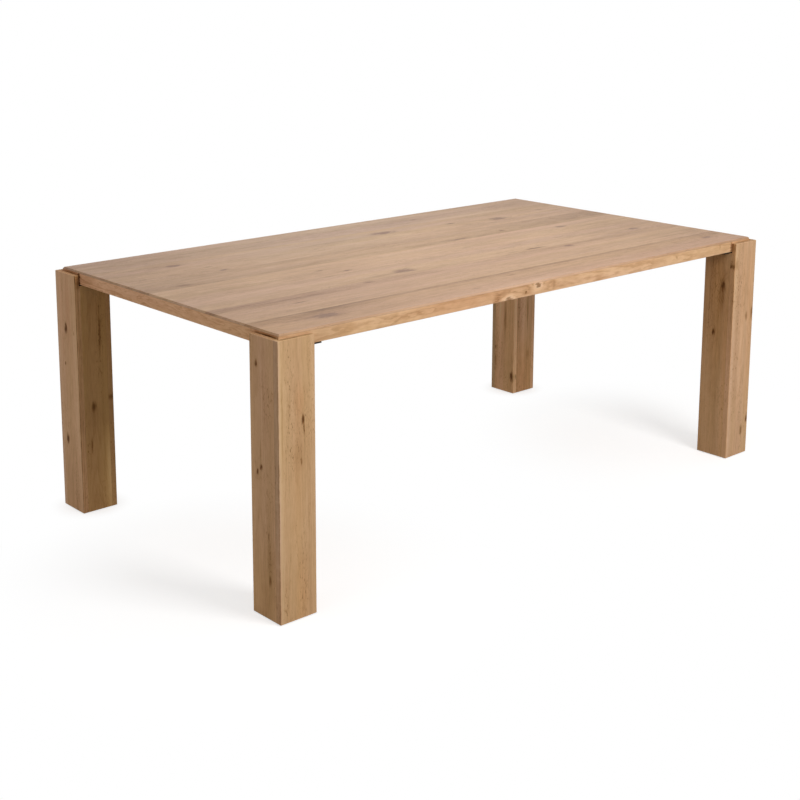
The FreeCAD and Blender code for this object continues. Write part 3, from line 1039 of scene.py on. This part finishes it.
def legs() -> tuple[Leg, ...]:
    """The four legs with the marks of their boards."""
    front_left = box_leg(
        "front_left",
        leg_board(
            "outer_side", Tone.GOLDEN, Cut(-0.01, 0.05), 43.1,
            Knot(0.712, 0.66, 0.011, 0.004),
            Smudge(0.685, 0.69, 0.028, 0.005, 0.5), Smudge(0.64, 0.71, 0.05, 0.006, 0.16),
            Smudge(0.565, 0.61, 0.014, 0.005, 0.36), Smudge(0.58, 0.56, 0.06, 0.03, 0.12),
            # Smudge(0.5, 0.07, ...) and Smudge(0.5, 0.045, ...) are a painted highlight along the board's
            # arris.
            Smudge(0.5, 0.07, 2.0, 0.014, -0.16), Smudge(0.5, 0.045, 2.0, 0.005, -0.24),
            Smudge(0.5, 0.0, 2.0, 0.003, 0.26), Smudge(0.72, 0.1, 0.2, 0.005, 0.3),
            Smudge(0.5, 0.95, 2.0, 0.016, -0.1),
            Blush(0.5, 0.0, 2.0, 0.006, (1.0, 1.02, 1.22)),
            Blush(0.75, 0.28, 0.4, 0.028, (1.06, 1.09, 1.14)),
            Blush(0.05, 0.06, 0.3, 0.016, (0.93, 0.92, 0.89)),
            Blush(0.45, 0.5, 0.32, 0.026, (0.99, 0.96, 0.92)),
            Blush(0.85, 0.92, 0.22, 0.018, (1.06, 1.08, 1.09)),
            Blush(0.02, 0.0, 0.3, 0.007, (1.0, 0.93, 0.84)),
            Blush(0.08, 0.6, 0.15, 0.032, (1.03, 0.98, 0.93)),
            Blush(0.78, 0.58, 0.08, 0.022, (1.03, 0.98, 0.94)),
        ),
        leg_board(
            "outer_end", Tone.OLIVE, Cut(0.02, 0.07), 47.3,
            Knot(0.522, 0.72, 0.007, 0.0045), Knot(0.54, 0.57, 0.009, 0.0045),
            Smudge(0.9, 0.72, 0.013, 0.01, 0.62), Smudge(0.59, 0.59, 0.05, 0.004, 0.26),
            Smudge(0.298, 0.29, 0.016, 0.005, 0.32), Smudge(0.142, 0.25, 0.022, 0.008, 0.4),
            Smudge(0.22, 0.27, 0.1, 0.01, 0.1), Smudge(0.1, 0.4, 0.24, 0.07, 0.12),
            Smudge(0.72, 0.51, 0.22, 0.003, -0.26),
            Blush(0.52, 0.97, 0.34, 0.028, (1.11, 1.13, 1.18)),
            Blush(0.3, 0.22, 0.4, 0.024, (0.94, 0.93, 0.9)),
            Blush(0.04, 0.55, 0.24, 0.12, (1.05, 1.05, 0.96)),
            Blush(0.95, 0.5, 0.3, 0.12, (1.02, 1.01, 1.05)),
        ),
        leg_board("inner_end", Tone.OLIVE, Cut(0.01, 0.06), 53.9),
        leg_board("inner_side", Tone.FAIR, Cut(0.0, 0.05), 59.1),
    )
    front_right = box_leg(
        "front_right",
        leg_board(
            "outer_side", Tone.LIGHT, Cut(0.02, 0.06), 61.7,
            Knot(0.162, 0.94, 0.008, 0.005),
            Smudge(0.655, 0.68, 0.024, 0.01, 0.48), Smudge(0.665, 0.94, 0.03, 0.01, 0.44),
            Smudge(0.112, 0.7, 0.028, 0.011, 0.5), Smudge(0.905, 0.08, 0.03, 0.016, 0.34),
            # Smudge(0.5, 0.07, ...) is a painted highlight along the arris; Smudge(0.985, 0.0, ...) is
            # painted shade on the end of the top lip.
            Smudge(0.5, 0.07, 2.0, 0.014, -0.16), Smudge(0.9, 0.0, 0.5, 0.003, 0.28),
            Smudge(0.895, 0.0, 0.01, 0.004, 0.3), Smudge(0.985, 0.0, 0.04, 0.004, 0.26),
            Smudge(0.4, 0.45, 0.3, 0.014, -0.1),
            Blush(0.5, 0.0, 2.0, 0.006, (1.02, 0.95, 0.88)),
            Blush(0.8, 0.8, 0.24, 0.024, (1.08, 1.05, 1.03)),
            Blush(0.45, 0.86, 0.3, 0.026, (1.0, 0.95, 0.92)),
            Blush(0.62, 0.5, 0.46, 0.022, (1.08, 1.07, 1.04)),
            Blush(0.12, 0.3, 0.2, 0.024, (1.07, 1.1, 1.08)),
        ),
        leg_board("outer_end", Tone.OLIVE, Cut(0.01, 0.08), 67.3),
        leg_board(
            "inner_end", Tone.BRONZE, Cut(0.0, 0.05), 71.9,
            Knot(0.838, 0.26, 0.018, 0.009), Knot(0.609, 0.55, 0.01, 0.006),
            # Smudge(0.82, 0.5, ...) and the olive Blush(0.8, 0.45, ...) are painted shade on the upper part
            # of the face, under the top.
            Smudge(0.8, 0.27, 0.08, 0.014, 0.22), Smudge(0.82, 0.5, 0.36, 0.1, 0.26),
            Smudge(0.2, 0.04, 0.34, 0.03, -0.2),
            Blush(0.8, 0.45, 0.4, 0.05, (0.99, 0.94, 0.84)), Blush(0.4, 0.05, 0.5, 0.02, (1.03, 0.97, 0.9)),
        ),
        leg_board("inner_side", Tone.SANDY, Cut(0.0, 0.05), 73.3),
    )
    back_left = box_leg(
        "back_left",
        leg_board("outer_side", Tone.MAUVE, Cut(0.02, 0.06), 79.7),
        leg_board(
            "outer_end", Tone.SANDY, Cut(-0.01, 0.06), 83.1,
            Knot(0.769, 0.646, 0.014, 0.0075), Knot(0.297, 0.79, 0.011, 0.008),
            Smudge(0.62, 0.76, 0.009, 0.006, 0.6), Smudge(0.758, 0.19, 0.01, 0.006, 0.36),
            # Smudge(0.5, 0.0, ...) is painted shade on the board's front edge, which lies in the top's
            # shade, and Smudge(0.98, 0.0, ...) is painted shade on the end of the top lip.
            Smudge(0.5, 0.0, 2.0, 0.004, 0.3), Smudge(0.98, 0.0, 0.04, 0.004, 0.26),
            Smudge(0.06, 0.5, 0.24, 0.12, 0.1),
            Blush(0.4, 0.2, 0.36, 0.032, (1.1, 1.12, 1.16)),
            Blush(0.85, 0.92, 0.22, 0.024, (1.09, 1.08, 1.1)),
            Blush(0.85, 0.5, 0.2, 0.022, (0.97, 0.91, 0.9)),
        ),
        leg_board("inner_end", Tone.PAINTED_SHADE, Cut(0.02, 0.06), 89.3, Smudge(0.492, 0.0, 0.014, 0.006, 0.4)),
        leg_board(
            "inner_side", Tone.PAINTED_SHADE, Cut(0.0, 0.05), 97.1,
            Smudge(0.467, 0.39, 0.024, 0.014, 0.5), Smudge(0.43, 0.45, 0.06, 0.022, 0.12),
            Smudge(0.296, 0.25, 0.034, 0.006, 0.5), Smudge(0.78, 0.72, 0.12, 0.006, 0.5),
            # Smudge(0.9, 0.5, ...) is painted shade on the upper part of the face, under the top.
            Smudge(0.9, 0.5, 0.26, 0.08, 0.12), Smudge(0.5, 0.0, 2.0, 0.004, -0.2),
            Smudge(0.16, 0.96, 0.16, 0.016, -0.3),
            Blush(0.7, 0.5, 0.35, 0.02, (1.09, 1.11, 1.14)),
            Blush(0.14, 0.97, 0.24, 0.022, (1.16, 1.2, 1.26)),
        ),
    )
    back_right = box_leg(
        "back_right",
        leg_board("outer_side", Tone.FAIR, Cut(0.02, 0.06), 101.3),
        leg_board("outer_end", Tone.PAINTED_LIGHT, Cut(0.02, 0.06), 103.7),
        leg_board(
            "inner_end", Tone.PAINTED_LIGHT, Cut(0.01, 0.06), 107.1,
            Knot(0.092, 0.1, 0.016, 0.008),
            # Smudge(0.5, 0.0, ...) is a painted highlight along the arris between the two inner faces.
            Smudge(0.5, 0.0, 2.0, 0.004, -0.24), Smudge(0.42, 0.48, 0.1, 0.01, 0.36),
            Smudge(0.24, 0.99, 0.014, 0.007, 0.34), Smudge(0.165, 0.96, 0.04, 0.009, 0.28),
            Smudge(0.115, 1.0, 0.01, 0.006, 0.32), Smudge(0.2, 0.95, 0.4, 0.016, 0.12),
            Blush(0.1, 0.12, 0.22, 0.036, (0.89, 0.88, 0.83)),
            Blush(0.45, 0.8, 0.18, 0.03, (1.12, 1.17, 1.2)),
        ),
        leg_board(
            "inner_side", Tone.ROSE, Cut(0.0, 0.06), 109.9,
            Smudge(0.45, 0.72, 0.1, 0.008, 0.34), Smudge(0.208, 0.77, 0.03, 0.01, 0.28),
            Smudge(0.35, 0.45, 0.5, 0.01, -0.2), Smudge(0.35, 0.1, 0.5, 0.014, 0.16),
            Smudge(0.14, 0.5, 0.16, 0.04, 0.16),
            Blush(0.48, 0.5, 0.18, 0.09, (1.08, 1.1, 1.2)), Blush(0.1, 0.5, 0.2, 0.09, (0.99, 0.94, 0.87)),
        ),
    )
    return front_left, front_right, back_left, back_right


# The studio


@dataclass(frozen=True)
class SoftBox:
    """A square area lamp that points at a place."""

    name: str
    place: Triple
    target: Triple
    side: float
    power: float

    def build(self) -> None:
        """Adds the lamp to the scene."""
        bpy.ops.object.light_add(type="AREA", location=self.place)
        lamp = bpy.context.object
        lamp.name = self.name
        lamp.rotation_euler = (Vector(self.target) - Vector(self.place)).to_track_quat("-Z", "Y").to_euler()
        lamp.data.shape = "SQUARE"
        lamp.data.size = self.side
        lamp.data.energy = self.power


@dataclass(frozen=True)
class Studio:
    """White floor and background, soft lamps and the camera."""

    camera_place: Triple = (-2.9789, -3.1805, 1.6188)
    camera_turn: float = math.radians(-40.96)
    camera_tilt: float = math.radians(90 - 10.84)
    focal_length: float = 63.14
    sensor: float = 36.0
    shift_x: float = 0.0346
    shift_y: float = -0.2
    floor_radius: float = 40.0
    floor_sides: int = 96
    floor_drop: float = 0.0005
    floor_bounce: float = 0.55
    floor_shown: float = 0.66
    floor_glow: float = 0.64
    shadow_lag: float = 0.2
    shadow_reach: Pair = (0.2, 0.75)
    shadow_fall: float = 5.6
    ambient: float = 0.35
    lamps: tuple[SoftBox, ...] = (
        SoftBox("front_softbox", (0.2, -3.2, 2.6), (0.0, 0.0, 0.5), 1.4, 62.0),
        SoftBox("overhead_softbox", (0.2, 0.1, 2.05), (0.2, 0.1, 0.7), 0.9, 5.2),
        SoftBox("left_softbox", (-4.2, -0.5, 1.7), (0.0, 0.0, 0.4), 2.4, 9.0),
    )

    @staticmethod
    def _seen(sheet: NodeSheet) -> Signal:
        """1 for rays that show the background: from the camera, a gloss or a clear piece."""
        path = sheet.add("LightPath", {}, {})
        camera, glossy, clear = (
            Signal(sheet, path.outputs[name])
            for name in ("Is Camera Ray", "Is Glossy Ray", "Is Transmission Ray")
        )
        return sheet.math("MAXIMUM", camera, sheet.math("MAXIMUM", glossy, clear))

    def build_world(self) -> None:
        """Adds a white background that lights the table at a plain level."""
        world = bpy.data.worlds.new("white_studio")
        world.use_nodes = True
        bpy.context.scene.world = world
        sheet = NodeSheet(world.node_tree)
        light = sheet.node("Background", {}, {"Color": WHITE, "Strength": self.ambient})
        white = sheet.node("Background", {}, {"Color": WHITE, "Strength": 1.0})
        sheet.end("World", sheet.node("MixShader", {}, {0: self._seen(sheet), 1: light, 2: white}))

    @staticmethod
    def _from_foot(sheet: NodeSheet, place: Signal, glide: str) -> Signal:
        """Distance on the floor from a right foot or its mirror image on the left."""
        low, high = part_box(glide)
        across, along, _ = sheet.split(place)
        folded = sheet.join(abs(across), along, 0.0)
        foot = ((low[0] + high[0]) / 2, (low[1] + high[1]) / 2, 0.0)
        return sheet.vector("DISTANCE", folded, foot, output="Value")

    def build_floor(self) -> None:
        """Adds a wide white floor that keeps the table's shadow."""
        bpy.ops.mesh.primitive_circle_add(
            vertices=self.floor_sides,
            radius=self.floor_radius,
            fill_type="NGON",
            location=(0, 0, -self.floor_drop),
        )
        floor = bpy.context.object
        floor.name = "studio_floor"
        bpy.ops.object.transform_apply(location=True, rotation=True, scale=True)
        material, sheet = new_sheet("white_floor")
        place = sheet.object_place()
        lagged = sheet.vector("SUBTRACT", place, (0.0, self.shadow_lag, 0.0))
        near_front = self._from_foot(sheet, lagged, "front_right_leg_glide")
        near_back = self.shadow_fall * self._from_foot(sheet, place, "back_right_leg_glide")
        far = sheet.smooth(sheet.math("MINIMUM", near_front, near_back), *self.shadow_reach)
        bounce = sheet.node("BsdfDiffuse", {}, {"Color": opaque((self.floor_bounce,) * 3)})
        shade = sheet.node("BsdfDiffuse", {}, {"Color": opaque((self.floor_shown,) * 3)})
        glow = sheet.node("Emission", {}, {"Color": WHITE, "Strength": self.floor_glow})
        white = sheet.node("Emission", {}, {"Color": WHITE, "Strength": 1.0})
        near = sheet.node("AddShader", {}, {0: shade, 1: glow})
        seen = sheet.node("MixShader", {}, {0: far, 1: near, 2: white})
        sheet.end("Material", sheet.node("MixShader", {}, {0: self._seen(sheet), 1: bounce, 2: seen}))
        floor.data.materials.append(material)

    def build_camera(self) -> None:
        """Adds the camera at the photograph's viewing angle."""
        bpy.ops.object.camera_add(
            location=self.camera_place, rotation=(self.camera_tilt, 0.0, self.camera_turn)
        )
        camera = bpy.context.object
        camera.data.sensor_width = self.sensor
        camera.data.lens = self.focal_length
        camera.data.shift_x = self.shift_x
        camera.data.shift_y = self.shift_y
        bpy.context.scene.camera = camera

    def build(self) -> None:
        """Builds the whole studio."""
        bpy.ops.object.select_all(action="DESELECT")
        bpy.context.scene.view_settings.view_transform = "Standard"
        self.build_world()
        self.build_floor()
        for lamp in self.lamps:
            lamp.build()
        self.build_camera()


def main() -> None:
    """Loads the table, dresses its pieces and builds the studio."""
    logging.basicConfig(level=logging.INFO)
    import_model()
    tabletop().dress()
    plate = POWDER_COAT.material()
    glide = MOULDED_NYLON.material()
    for number, leg in enumerate(legs()):
        leg.dress(plate, glide, BLOCK_SHIFT + BLOCK_SHIFT_STEP * number)
    Hardware().dress()
    Studio().build()


if __name__ == "__main__":
    main()
